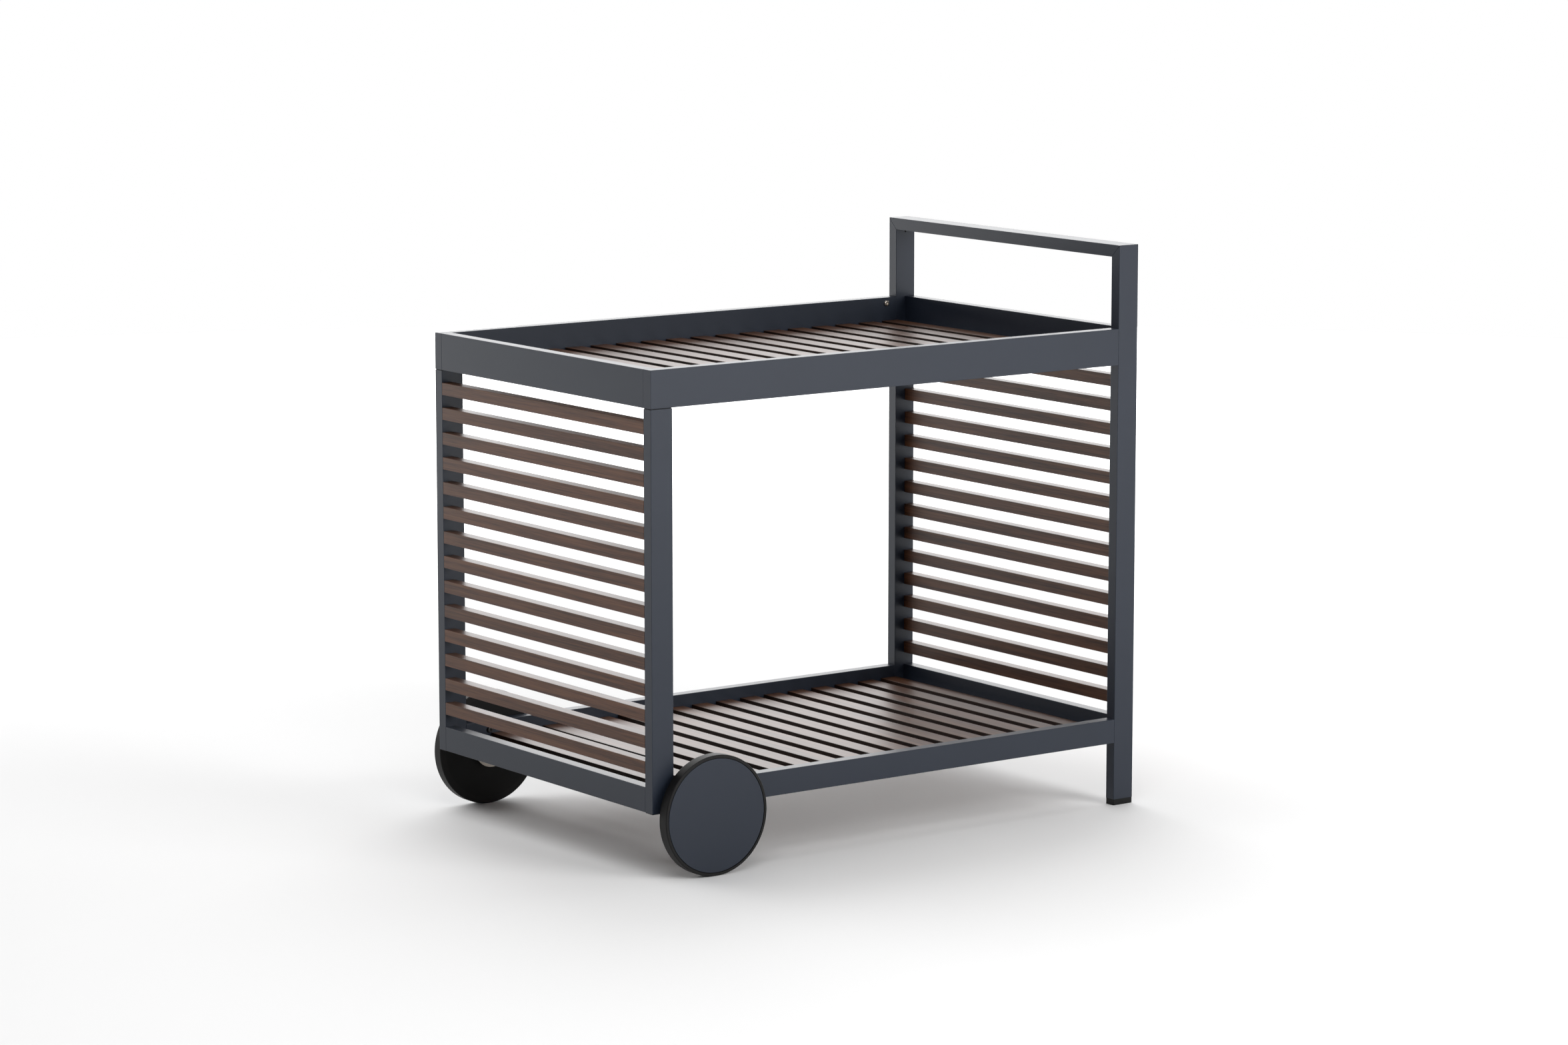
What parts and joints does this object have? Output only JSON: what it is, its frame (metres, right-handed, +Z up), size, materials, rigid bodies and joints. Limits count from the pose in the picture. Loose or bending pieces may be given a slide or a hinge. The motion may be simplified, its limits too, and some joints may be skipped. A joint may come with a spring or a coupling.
{
  "type": "serving trolley",
  "caption": "Two-deck serving trolley with a flat-tube frame, dark wooden slats on both decks and both ends, a raised handle bar and large disc wheels at one end.",
  "frame": {"origin": "on the floor under the middle of the trolley", "axes": "+X from the wheel end to the handle end, +Y from the front to the back, +Z up"},
  "size_m": [0.97, 0.675, 0.935],
  "materials": {
    "frame_paint": "slate powder coat, satin",
    "slat_wood": "dark brown stained and lacquered, fine grain",
    "tyre_rubber": "smooth",
    "wheel_plastic": "moulded",
    "black_plastic": "moulded",
    "stainless_steel": "brushed",
    "black_steel": "black oxide",
    "bare_aluminium": "mill",
    "nylon": "moulded"
  },
  "bodies": {
    "frame": {"axle_pin_back": "stainless_steel", "axle_pin_front": "stainless_steel", "axle_plate_back": "stainless_steel", "axle_plate_front": "stainless_steel", "axle_washers": "stainless_steel", "feet": "black_plastic", "grub_screws": "black_steel", "handle_bar": "frame_paint", "handle_corner_keys": "bare_aluminium", "handle_end_leg_back": "frame_paint", "handle_end_leg_front": "frame_paint", "handle_end_slat_tenons": "nylon", "handle_end_slats": "slat_wood", "leg_plugs": "black_plastic", "leg_top_connectors": "black_plastic", "plate_bolts": "black_steel", "retaining_rings": "stainless_steel", "shelf_deck_slats": "slat_wood", "shelf_rail_back": "frame_paint", "shelf_rail_front": "frame_paint", "shelf_rail_handle_end": "frame_paint", "shelf_rail_spigots": "bare_aluminium", "shelf_rail_wheel_end": "frame_paint", "shelf_screws": "stainless_steel", "shelf_slat_tenons": "nylon", "tray_deck_slats": "slat_wood", "tray_rail_back": "frame_paint", "tray_rail_end_caps": "frame_paint", "tray_rail_front": "frame_paint", "tray_rail_handle_end": "frame_paint", "tray_rail_spigots": "bare_aluminium", "tray_rail_wheel_end": "frame_paint", "tray_screws": "stainless_steel", "tray_slat_tenons": "nylon", "wheel_end_leg_back": "frame_paint", "wheel_end_leg_front": "frame_paint", "wheel_end_slat_01": "slat_wood", "wheel_end_slat_02": "slat_wood", "wheel_end_slat_03": "slat_wood", "wheel_end_slat_04": "slat_wood", "wheel_end_slat_05": "slat_wood", "wheel_end_slat_06": "slat_wood", "wheel_end_slat_07": "slat_wood", "wheel_end_slat_08": "slat_wood", "wheel_end_slat_09": "slat_wood", "wheel_end_slat_10": "slat_wood", "wheel_end_slat_11": "slat_wood", "wheel_end_slat_12": "slat_wood", "wheel_end_slat_13": "slat_wood", "wheel_end_slat_14": "slat_wood", "wheel_end_slat_tenons": "nylon"},
    "wheel_front": {"tyre_front": "tyre_rubber", "wheel_disc_front": "wheel_plastic", "wheel_cover_front": "frame_paint", "wheel_bushes_front": "nylon"},
    "wheel_back": {"tyre_back": "tyre_rubber", "wheel_disc_back": "wheel_plastic", "wheel_cover_back": "frame_paint", "wheel_bushes_back": "nylon"}
  },
  "joints": [
    {"name": "wheel_front_spin", "type": "hinge", "parent": "frame", "child": "wheel_front", "pos_m": [-0.3825, -0.328, 0.096], "axis": [0, 1, 0], "continuous": true},
    {"name": "wheel_back_spin", "type": "hinge", "parent": "frame", "child": "wheel_back", "pos_m": [-0.3825, 0.328, 0.096], "axis": [0, 1, 0], "continuous": true}
  ]
}
